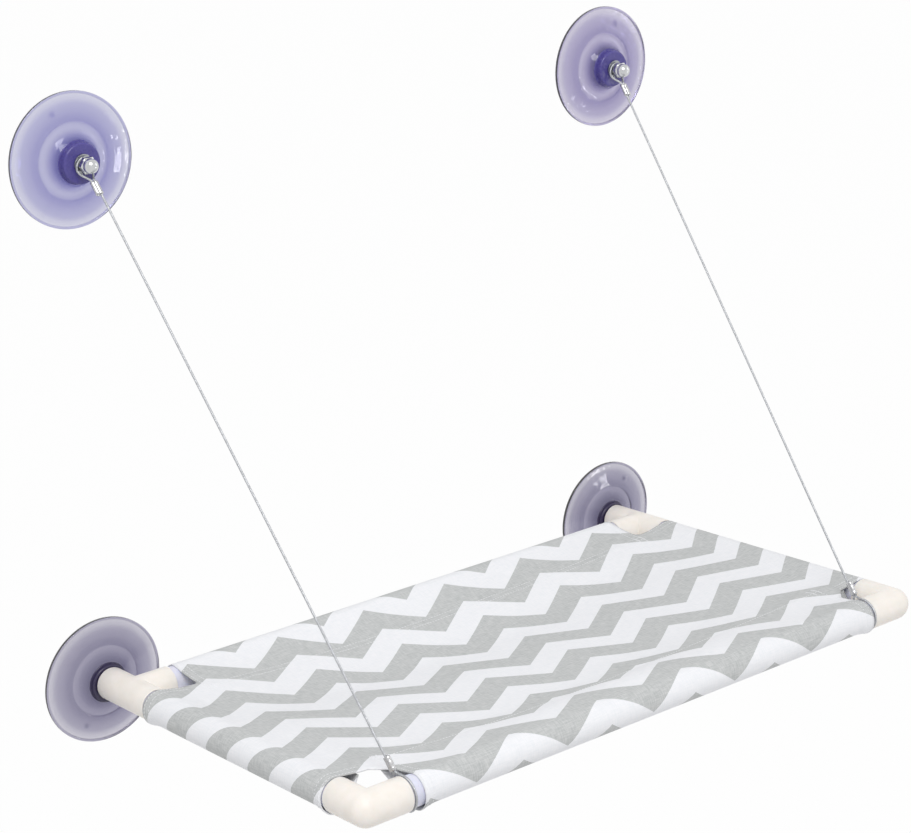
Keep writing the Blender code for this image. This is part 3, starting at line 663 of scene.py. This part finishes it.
def stitch_row(builder, start, stop, stitch=STITCH_LENGTH, gap=STITCH_GAP, thick=THREAD_RADIUS):
    """Stitches between two spots on the flat cloth, lying on its outer side."""
    start, stop = np.array(start), np.array(stop)
    length = float(np.linalg.norm(stop - start))
    count = max(1, round(length / stitch))
    ahead = (stop - start) / length
    aside = np.array((-ahead[1], ahead[0]))
    size = Matrix.Diagonal((thick, thick, (length / count - gap) / 2, 1.0))
    row = bmesh.new()
    for index in range(count):
        spot = start + ahead * (length * (index + 0.5) / count)
        run = (cloth_place(*(spot + ahead * PROBE)) - cloth_place(*(spot - ahead * PROBE))).normalized()
        cross = (cloth_place(*(spot + aside * PROBE)) - cloth_place(*(spot - aside * PROBE))).normalized()
        up = cross.cross(run).normalized()
        turn = Matrix((up.cross(run), up, run)).transposed().to_4x4()
        place = cloth_place(*spot) + up * (CLOTH / 2 + THREAD_LIFT)
        bmesh.ops.create_uvsphere(row, u_segments=6, v_segments=4, radius=1.0,
                                  matrix=Matrix.Translation(place) @ turn @ size)
    add_to(builder, row)


def seam_threads():
    builder = bmesh.new()
    inner = ROW_SPACING / 2
    for seam, edge, ends, rows in ((BACK_SEAM, BACK_EDGE, BACK_SLEEVE_ENDS, (-inner, inner)),
                                   (FRONT_SEAM, FRONT_EDGE, FRONT_SLEEVE_ENDS, (0.0,))):
        outward = math.copysign(1, edge - seam)
        for row in rows:
            stitch_row(builder, (-ends[0], seam + row), (ends[1], seam + row))
        for side, half in zip((-1, 1), ends):
            for inset in (HEM_INSET, HEM_INSET + ROW_SPACING):
                across = side * (half - inset)
                stitch_row(builder, (across, seam - outward * inner), (across, edge))
                tack = (across, seam - outward * TACK_LENGTH), (across, seam + outward * TACK_LENGTH / 2)
                stitch_row(builder, *tack, stitch=TACK_STITCH, gap=0.0, thick=TACK_RADIUS)
    for side in (-1, 1):
        for inset in (HEM_INSET, HEM_INSET + ROW_SPACING):
            for along in (SIDE_SLEEVE_BACK + inset, SIDE_SLEEVE_FRONT - inset):
                stitch_row(builder, (side * (SIDE_SEAM - inner), along), (side * SIDE_EDGE, along))
    return new_piece("cover_stitches", builder, THREAD, "frame", sharp=80)


def hammock_cloth():
    columns = spaced(COLUMN_LINES, COLUMN_STEPS)
    rows = spaced(ROW_LINES, ROW_STEPS)
    builder = bmesh.new()
    bmesh.ops.create_grid(builder, x_segments=len(columns) - 1, y_segments=len(rows) - 1, size=0.5)
    for vert in builder.verts:
        vert.co.x = columns[round((vert.co.x + 0.5) * (len(columns) - 1))]
        vert.co.y = rows[round((vert.co.y + 0.5) * (len(rows) - 1))]
    corners = []
    for face in builder.faces:
        middle = face.calc_center_median()
        if abs(middle.x) > 1 and abs(middle.y - 0.5) > 1.5:
            corners.append(face)
    bmesh.ops.delete(builder, geom=corners, context="FACES")
    printed = {}
    for vert in builder.verts:
        spot = flat_place(vert.co.x, vert.co.y)
        printed[vert] = print_place(*spot)
        vert.co = cloth_place(*spot)
    layer = builder.loops.layers.uv.new("cloth")
    for face in builder.faces:
        for loop in face.loops:
            loop[layer].uv = printed[loop.vert]
    cover = new_piece("hammock_cloth", builder, CANVAS, "frame", nodes=("hammock_cover",))
    solid = cover.modifiers.new("cloth thickness", "SOLIDIFY")
    solid.thickness = CLOTH
    solid.offset = 0.0
    seam_threads()


hammock_cloth()


# Suction cups
CUP_STEPS = 180
CUP_RADIUS = 0.055
CUP_RIM = 0.0020
SEAL_WIDTH = 0.010
SEAL_RELIEF = 0.0002
CAVITY_DEPTH = 0.0037
HOLLOW_RISE = 0.0020
HOLLOW_RADIUS = 0.0240
HOLLOW_EASE = 0.0105
RING_RADIUS = 0.031
RING_RISE = 0.0042
RING_STEP = 0.0008
RING_WIDTH = 0.0008
HUB_RADIUS = 0.0165
HUB_EDGE = 0.0022
HUB_DRAFT = 0.0005
HUB_FILLET = 0.0016
SHOULDER_REACH = 0.0040
SHOULDER_DROP = 0.0022
HUB_FINISH_REACH = HUB_RADIUS + 0.0012
HUB_FINISH_DROP = 0.0010
NUB_PLACE = 0.0415
NUB_RADIUS = 0.0040
NUB_RISE = 0.0014
OUTLINE_STEP = 0.0007
CORNER_STEPS = 7
DOME_SHARES = np.linspace(0.2, 1.0, 13)
WALL_SHARES = np.linspace(0.0, 1.0, 9)
ROOF_SHARES = np.linspace(0.0, 1.0, 15)[1:]
TO_ROOM = Matrix.Rotation(math.pi / 2, 4, "X")

# Flange and rim of a cup: radius, height and rounding of each corner, from the ring to the hollow
RIM_LINE = ((RING_RADIUS + RING_WIDTH, RING_RISE + RING_STEP, 0),
            (0.0385, 0.0037, 0.0050), (0.0452, 0.0029, 0.0016), (0.0488, 0.0019, 0.0014),
            (0.0528, 0.0014, 0.0003), (0.0532, 0.0028, 0.0007), (CUP_RADIUS, 0.0028, 0.0009),
            (CUP_RADIUS, 0.0, 0.0004), (CUP_RADIUS - SEAL_WIDTH, 0.0, 0))


def finer(points, step):
    """Outline with points added along it, none of them further apart than the step."""
    fine = [points[0]]
    for start, stop in zip(points, points[1:]):
        count = math.ceil(math.dist(start, stop) / step)
        for share in np.linspace(0.0, 1.0, count + 1)[1:]:
            fine.append((start[0] + (stop[0] - start[0]) * share, start[1] + (stop[1] - start[1]) * share))
    return fine


def cup_profile(hub_rise, dome_rise, dome_bow):
    """Outline of a cup from the middle of its hub over the rim to the middle of its hollow."""
    foot = HUB_RADIUS + HUB_DRAFT
    shoulder = (foot + SHOULDER_REACH, dome_rise - SHOULDER_DROP)
    corners = [(0.0, hub_rise), (HUB_RADIUS, hub_rise), (foot, dome_rise), shoulder]
    points = rounded(corners, [0, HUB_EDGE, HUB_FILLET, 0], CORNER_STEPS)[:-1]
    for share in DOME_SHARES:
        rise = RING_RISE + (dome_rise - RING_RISE) * (1 - share) ** dome_bow
        points.append((foot + (RING_RADIUS - foot) * share, rise))
    rim = rounded([corner[:2] for corner in RIM_LINE], [corner[2] for corner in RIM_LINE], CORNER_STEPS)
    points += finer(rim, OUTLINE_STEP)
    for share in WALL_SHARES:
        rise = SEAL_RELIEF + (HOLLOW_RISE - SEAL_RELIEF) * share ** 2 * (3 - 2 * share)
        points.append((HOLLOW_RADIUS + HOLLOW_EASE * (1 - share), rise))
    for share in ROOF_SHARES:
        rise = HOLLOW_RISE + (CAVITY_DEPTH - HOLLOW_RISE) * math.sin(math.pi / 2 * share)
        points.append((HOLLOW_RADIUS * (1 - share), rise))
    return points


def suction_cup(name, centre, rises, finish, nub_angle):
    """Cup of clear vinyl whose hub, nearly opaque in the photograph, has a finish of its own."""
    hub_rise, dome_rise, dome_bow = rises
    builder = turned(cup_profile(hub_rise, dome_rise, dome_bow), CUP_STEPS)
    nub = Vector((NUB_PLACE * math.cos(nub_angle), NUB_PLACE * math.sin(nub_angle)))
    for vert in builder.verts:
        away = (vert.co.xy - nub).length / NUB_RADIUS
        if away < 1 and vert.co.z > CUP_RIM:
            vert.co.z += NUB_RISE * (1 - away ** 2) ** 2
    for face in builder.faces:
        middle = face.calc_center_median()
        if middle.z > dome_rise - HUB_FINISH_DROP and middle.xy.length < HUB_FINISH_REACH:
            face.material_index = 1
    turn = Matrix.Translation(centre) @ TO_ROOM
    cup = new_piece(name + "_vinyl", builder, finish, name, turn, (name,), sharp=60)
    # The lower cups' hubs take a near-black violet, a painted shadow of the tees
    cup.data.materials.append(SHADOWED_HUB_VINYL if finish is SHADED_CUP_VINYL else HUB_VINYL)


# Heights of hub and dome, and how hollow the dome's slope is; then the tints and the places of the nubs
UPPER_RISES = (0.0190, 0.0120, 2.6)
LOWER_RISES = (0.0134, 0.0095, 1.1)
UPPER_VINYLS = {"left": LAVENDER_VINYL, "right": VIOLET_VINYL}
UPPER_NUBS = {"left": math.radians(111), "right": math.radians(67)}
LOWER_NUBS = {"left": math.radians(-118), "right": math.radians(56)}

# Studs, washers and nuts, by their distance from the glass
HARDWARE_STEPS = 96
STUD_RADIUS = 0.0040
STUD_CHAMFER = 0.0007
THREAD_DEPTH = 0.0004
THREAD_START = 0.0005
THREAD_STOP = 0.0020
SCREW_PITCH = 0.00125
HEAD_RADIUS = 0.0075
HEAD_FLOOR = 0.0059
HEAD_TOP = 0.0099
HEAD_ROUNDING = 0.0006
BORE_RADIUS = 0.0043
WASHER_RADIUS = 0.0080
WASHER_THICKNESS = 0.0015
WASHER_ROUNDINGS = (0, 0.0001, 0.0003, 0.0002, 0)
NUT_ACROSS_FLATS = 0.013
NUT_FACE = 0.98 * NUT_ACROSS_FLATS / 2
NUT_CORNER = NUT_ACROSS_FLATS / math.sqrt(3)
NUT_CHAMFER = 0.0006
LOWER_WASHER_SEAT = 0.02235
LOWER_NUT_SEAT = 0.02415
LOWER_NUT_HEIGHT = 0.0065
LOWER_STUD_TIP = 0.03265
UPPER_WASHER_SEAT = 0.0193
CAP_NUT_SEAT = 0.0246
CAP_NUT_HEX = 0.0048
CAP_NUT_CROWN = 0.0020
CAP_NUT_STEPS = 12
DOME_RADIUS = 0.0061
DOME_LIFT = 0.0001
STUD_GAP = 0.0003
UPPER_STUD_TIP = 0.0301


def stud_profile(tip):
    points = [(0.0, tip), (STUD_RADIUS - STUD_CHAMFER, tip)]
    turns = int((tip - HEAD_TOP - THREAD_STOP) / SCREW_PITCH)
    for turn in range(turns):
        crest = tip - THREAD_START - turn * SCREW_PITCH
        points += [(STUD_RADIUS, crest), (STUD_RADIUS - THREAD_DEPTH, crest - SCREW_PITCH / 2)]
    points.append((STUD_RADIUS, tip - THREAD_START - turns * SCREW_PITCH))
    head = [(STUD_RADIUS, HEAD_TOP), (HEAD_RADIUS, HEAD_TOP), (HEAD_RADIUS, HEAD_FLOOR), (0.0, HEAD_FLOOR)]
    return points + rounded(head, [0, HEAD_ROUNDING, HEAD_ROUNDING, 0])


def washer_profile(seat):
    high = seat + WASHER_THICKNESS
    corners = [(BORE_RADIUS, seat), (BORE_RADIUS, high), (WASHER_RADIUS, high), (WASHER_RADIUS, seat),
               (BORE_RADIUS, seat)]
    return rounded(corners, WASHER_ROUNDINGS)[:-1]


def nut_profile(seat):
    high = seat + LOWER_NUT_HEIGHT
    return [(BORE_RADIUS, seat), (BORE_RADIUS, high), (NUT_FACE, high), (NUT_CORNER, high - NUT_CHAMFER),
            (NUT_CORNER, seat + NUT_CHAMFER), (NUT_FACE, seat)]


def cap_nut_profile(seat, tip):
    hex_top = seat + CAP_NUT_HEX
    crown = hex_top + CAP_NUT_CROWN
    points = [(0.0, tip + STUD_GAP), (BORE_RADIUS, tip + STUD_GAP), (BORE_RADIUS, seat), (NUT_FACE, seat),
              (NUT_CORNER, seat + NUT_CHAMFER), (NUT_CORNER, hex_top - NUT_CHAMFER), (NUT_FACE, hex_top),
              (DOME_RADIUS, hex_top + DOME_LIFT)]
    for angle in np.linspace(0, math.pi / 2, CAP_NUT_STEPS + 1):
        points.append((DOME_RADIUS * math.cos(angle), crown + DOME_RADIUS * math.sin(angle)))
    return points


def press_hexagon(builder):
    """Press everything wider than the nut's flats in to them."""
    for vert in builder.verts:
        radius = math.hypot(vert.co.x, vert.co.y)
        angle = math.atan2(vert.co.y, vert.co.x) % (math.pi / 3) - math.pi / 6
        share = min(1.0, NUT_ACROSS_FLATS / 2 / math.cos(angle) / max(radius, 1e-9))
        vert.co.x *= share
        vert.co.y *= share


# Studs, washers and plain nuts default to the zinc with painted shade
def hardware(name, kind, profile, centre, closed=False, hexagon=False, finish=SHADED_ZINC):
    """One turned piece on the axis of a cup, which it rides on."""
    builder = turned(profile, HARDWARE_STEPS, closed)
    if hexagon:
        press_hexagon(builder)
    node = name + "_" + kind
    turn = Matrix.Translation(centre) @ TO_ROOM
    new_piece(node + "_turned", builder, finish, name + "_cup", turn, (node,), sharp=28)


def cups_and_hardware():
    for hand, side in (("left", -1), ("right", 1)):
        name = "upper_" + hand
        centre = Vector((side * UPPER_CUP_ACROSS, 0, UPPER_CUP_HEIGHT))
        suction_cup(name + "_cup", centre, UPPER_RISES, UPPER_VINYLS[hand], UPPER_NUBS[hand])
        hardware(name, "stud", stud_profile(UPPER_STUD_TIP), centre)
        hardware(name, "washer", washer_profile(UPPER_WASHER_SEAT), centre, closed=True)
        hardware(name, "cap_nut", cap_nut_profile(CAP_NUT_SEAT, UPPER_STUD_TIP), centre, hexagon=True,
                 finish=DARKENED_CHROME)
        name = "lower_" + hand
        centre = Vector((side * HALF_SPACING, 0, 0))
        # The lower cups' greyer, deeper vinyl is painted shade
        suction_cup(name + "_cup", centre, LOWER_RISES, SHADED_CUP_VINYL, LOWER_NUBS[hand])
        hardware(name, "stud", stud_profile(LOWER_STUD_TIP), centre)
        hardware(name, "washer", washer_profile(LOWER_WASHER_SEAT), centre, closed=True)
        hardware(name, "nut", nut_profile(LOWER_NUT_SEAT), centre, closed=True, hexagon=True)


cups_and_hardware()


# Cables: six strands twisted round a core, with an eye round the stud and a loop round the front rail
WIRE_RADIUS = 0.0010
STRAND_RADIUS = WIRE_RADIUS / 3
TWIST_LENGTH = 0.0078
WIRE_STEP = 0.0008
STRAND_OFFSET = 0.0013
EYE_PLANE = 0.0221
EYE_RADIUS = 0.0074
EYE_CENTRE_DROP = 0.0021
EYE_DROP = 0.007
EYE_LEG = 0.016
EYE_DRAW = 0.0052
LOOP_ACROSS = 0.2494
LOOP_RADIUS = 0.0138
LOOP_LEG = 0.0185
LOOP_SPREAD = math.radians(50)
LOOP_PULL = 0.005
LOOP_DRAW = 0.004
UPPER_FERRULE_LENGTH = 0.0115
LOWER_FERRULE_LENGTH = 0.0120
BARREL_RADIUS = 0.0021
BARREL_STEPS = 48
TAIL = 0.0010
STRANDS = 6
ARCH_POINTS = 33
RING_POINTS = 49
SIDE_HINT = (0.3, 0.2, 1.0)


def bezier(start, start_handle, end_handle, end, steps=16):
    """Points after the start of a cubic curve, up to its end."""
    points = []
    for share in np.linspace(0, 1, steps + 1)[1:]:
        rest = 1 - share
        point = start * rest ** 3 + start_handle * (3 * rest ** 2 * share)
        points.append(point + end_handle * (3 * rest * share ** 2) + end * share ** 3)
    return points


def eye_route(centre, along, spread):
    """From the ferrule up one side, over the stud and down the other side."""
    middle = centre - Z_AXIS * EYE_CENTRE_DROP
    legs = []
    for hand in (-1, 1):
        shoulder = middle + X_AXIS * (hand * EYE_RADIUS)
        root = centre - along * EYE_LEG + spread * (hand * STRAND_OFFSET)
        legs.append(bezier(shoulder, shoulder - Z_AXIS * EYE_DROP, root + along * EYE_DRAW, root))
    arch = []
    for angle in np.linspace(0, math.pi, ARCH_POINTS):
        arch.append(middle + (Z_AXIS * math.sin(angle) - X_AXIS * math.cos(angle)) * EYE_RADIUS)
    return legs[0][::-1] + arch + legs[1]


def loop_route(centre, along, spread):
    """From the ferrule down behind the rail, round it and back up in front."""
    ahead = Vector((0.0, along.y, along.z)).normalized()
    aside = Vector((0.0, ahead.z, -ahead.y))
    legs = []
    for hand in (1, -1):
        outward = ahead * math.cos(LOOP_SPREAD) + aside * (hand * math.sin(LOOP_SPREAD))
        upward = ahead * math.sin(LOOP_SPREAD) - aside * (hand * math.cos(LOOP_SPREAD))
        start = centre + outward * LOOP_RADIUS
        root = centre + along * LOOP_LEG + spread * (hand * STRAND_OFFSET)
        pulled = root - along * LOOP_DRAW
        pulled.x = centre.x
        legs.append(bezier(start, start + upward * LOOP_PULL, pulled, root))
    ring = []
    for angle in np.linspace(LOOP_SPREAD, math.tau - LOOP_SPREAD, RING_POINTS):
        ring.append(centre + (ahead * math.cos(angle) + aside * math.sin(angle)) * LOOP_RADIUS)
    return legs[0][::-1] + ring + legs[1]


def stranded(route):
    """Six strands in a helix round a straight core along a route."""
    knots = np.array([tuple(point) for point in route])
    reach = np.concatenate([[0], np.cumsum(np.linalg.norm(np.diff(knots, axis=0), axis=1))])
    stops = np.linspace(0, reach[-1], int(reach[-1] / WIRE_STEP) + 1)
    path = np.column_stack([np.interp(stops, reach, knots[:, axis]) for axis in range(3)])
    ahead = np.gradient(path, axis=0)
    ahead /= np.linalg.norm(ahead, axis=1)[:, None]
    side = np.cross(ahead[0], SIDE_HINT)
    sides = []
    for step in ahead:
        side = side - step * side.dot(step)
        side /= np.linalg.norm(side)
        sides.append(side)
    sides = np.array(sides)
    others = np.cross(ahead, sides)
    curve = bpy.data.curves.new("strands", "CURVE")
    curve.dimensions = "3D"
    curve.bevel_depth = STRAND_RADIUS
    curve.bevel_resolution = 1
    curve.use_fill_caps = True
    for strand in range(STRANDS + 1):
        turn = math.tau * (strand / STRANDS + stops / TWIST_LENGTH)
        out = 0.0 if strand == STRANDS else WIRE_RADIUS - STRAND_RADIUS
        line = path + out * (sides * np.cos(turn)[:, None] + others * np.sin(turn)[:, None])
        spline = curve.splines.new("POLY")
        spline.points.add(len(line) - 1)
        spline.points.foreach_set("co", np.column_stack([line, np.ones(len(line))]).ravel())
    item = bpy.data.objects.new("strands", curve)
    mesh = bpy.data.meshes.new_from_object(item)
    builder = bmesh.new()
    builder.from_mesh(mesh)
    bpy.data.objects.remove(item)
    bpy.data.curves.remove(curve)
    bpy.data.meshes.remove(mesh)
    return builder


# Ferrule from end to end: share of its length, and share of its full girth
FERRULE_LINE = ((-0.50, 0.84), (-0.49, 0.93), (-0.465, 1.0), (-0.32, 1.0), (-0.26, 0.97), (-0.19, 0.97),
                (-0.13, 1.0), (0.13, 1.0), (0.19, 0.97), (0.26, 0.97), (0.32, 1.0), (0.465, 1.0),
                (0.49, 0.93), (0.50, 0.84))


def ferrule(node, middle, length, along, spread, body):
    """Double barrel pressed round the two wires, with two crimps and rounded ends."""
    builder = bmesh.new()
    verts = bmesh.ops.create_circle(builder, segments=BARREL_STEPS, radius=1.0)["verts"]
    ring = list({edge for vert in verts for edge in vert.link_edges})
    for index, (share, girth) in enumerate(FERRULE_LINE):
        if index:
            verts, ring = grown(builder, ring)
        for vert in verts:
            angle = math.atan2(vert.co.y, vert.co.x)
            across = STRAND_OFFSET * abs(math.cos(angle))
            rest = STRAND_OFFSET * math.sin(angle)
            radius = girth * (across + math.sqrt(BARREL_RADIUS ** 2 - rest ** 2))
            vert.co = (radius * math.cos(angle), radius * math.sin(angle), share * length)
    bmesh.ops.holes_fill(builder, edges=builder.edges, sides=0)
    bmesh.ops.recalc_face_normals(builder, faces=builder.faces)
    axes = Matrix((spread, along.cross(spread), along)).transposed().to_4x4()
    new_piece(node + "_crimped", builder, SHADED_FERRULE, body, Matrix.Translation(middle) @ axes,
              (node,), sharp=50)


def cable(hand, side):
    body = hand + "_cable"
    rail = frame_place(side * LOOP_ACROSS, FRONT_REACH, 0.0)
    eye = Vector((side * UPPER_CUP_ACROSS, -EYE_PLANE, UPPER_CUP_HEIGHT))
    along = (eye - rail).normalized()
    level = (X_AXIS - along * along.x).normalized()
    upright = along.cross(level)
    top = eye - along * (EYE_LEG + UPPER_FERRULE_LENGTH)
    foot = rail + along * (LOOP_LEG + LOWER_FERRULE_LENGTH)
    path = eye_route(eye, along, level)
    route = [top - along * TAIL + level * (side * STRAND_OFFSET)]
    route += path if side < 0 else path[::-1]
    route += [top - level * (side * STRAND_OFFSET), foot + upright * STRAND_OFFSET]
    route += loop_route(rail, along, upright)
    route.append(foot + along * TAIL - upright * STRAND_OFFSET)
    new_piece(body + "_strands", stranded(route), WIRE, body, nodes=(body,), sharp=60)
    middle = eye - along * (EYE_LEG + UPPER_FERRULE_LENGTH / 2)
    ferrule(hand + "_upper_ferrule", middle, UPPER_FERRULE_LENGTH, along, level, body)
    middle = rail + along * (LOOP_LEG + LOWER_FERRULE_LENGTH / 2)
    ferrule(hand + "_lower_ferrule", middle, LOWER_FERRULE_LENGTH, along, upright, body)


cable("left", -1)
cable("right", 1)


# Floor, lamps and world
FLOOR_DROP = 0.90
FLOOR_SIZE = 60.0
FLOOR_WHITENESS = 0.97
WORLD_STRENGTH = 0.60
VIEW_STRENGTH = 1.0


def white_for_views(tree):
    """One where the camera, a mirror or clear vinyl sees the surface, else zero."""
    path = tree.nodes.new("ShaderNodeLightPath")
    seen_by = path.outputs["Is Camera Ray"]
    for name in ("Is Glossy Ray", "Is Transmission Ray"):
        both = tree.nodes.new("ShaderNodeMath")
        both.operation = "MAXIMUM"
        tree.links.new(seen_by, both.inputs[0])
        tree.links.new(path.outputs[name], both.inputs[1])
        seen_by = both.outputs[0]
    return seen_by


def studio():
    builder = bmesh.new()
    bmesh.ops.create_grid(builder, x_segments=1, y_segments=1, size=FLOOR_SIZE)
    mesh = bpy.data.meshes.new("floor")
    builder.to_mesh(mesh)
    builder.free()
    floor = bpy.data.objects.new("floor", mesh)
    floor.location.z = -FLOOR_DROP
    bpy.context.scene.collection.objects.link(floor)
    finish = Finish("pale_floor", (0.90, 0.90, 0.90, 1.0), 0.9)
    glow = finish.node("Emission", Color=(1.0, 1.0, 1.0, 1.0), Strength=1.0).outputs[0]
    share = finish.maths("MULTIPLY", white_for_views(finish.tree), FLOOR_WHITENESS)
    mixed = finish.node("MixShader", i0=share, i1=finish.shader.outputs[0], i2=glow)
    finish.set(finish.output, Surface=mixed.outputs[0])
    mesh.materials.append(finish.material)

    world = bpy.data.worlds.new("studio_world")
    bpy.context.scene.world = world
    world.use_nodes = True
    tree = world.node_tree
    ground = tree.nodes["Background"]
    ground.inputs["Color"].default_value = (1.0, 1.0, 1.0, 1.0)
    strength = tree.nodes.new("ShaderNodeMapRange")
    strength.inputs[3].default_value = WORLD_STRENGTH
    strength.inputs[4].default_value = VIEW_STRENGTH
    tree.links.new(white_for_views(tree), strength.inputs[0])
    tree.links.new(strength.outputs[0], ground.inputs["Strength"])


def softbox(name, place, aim, size, power):
    data = bpy.data.lights.new(name, "AREA")
    data.shape = "RECTANGLE"
    data.size, data.size_y = size
    data.energy = power
    lamp = bpy.data.objects.new(name, data)
    lamp.location = place
    lamp.rotation_euler = (Vector(aim) - Vector(place)).to_track_quat("-Z", "Y").to_euler()
    bpy.context.scene.collection.objects.link(lamp)


studio()
softbox("key_softbox", place=(-1.2, -1.6, 2.6), aim=(0.0, -0.2, 0.1), size=(1.8, 1.4), power=50.0)
softbox("side_softbox", place=(2.4, -1.4, 1.2), aim=(0.0, -0.2, 0.1), size=(1.2, 1.6), power=5.0)
softbox("low_softbox", place=(1.75, -2.0, -0.25), aim=(0.0, -0.2, 0.3), size=(0.22, 0.36), power=2.2)
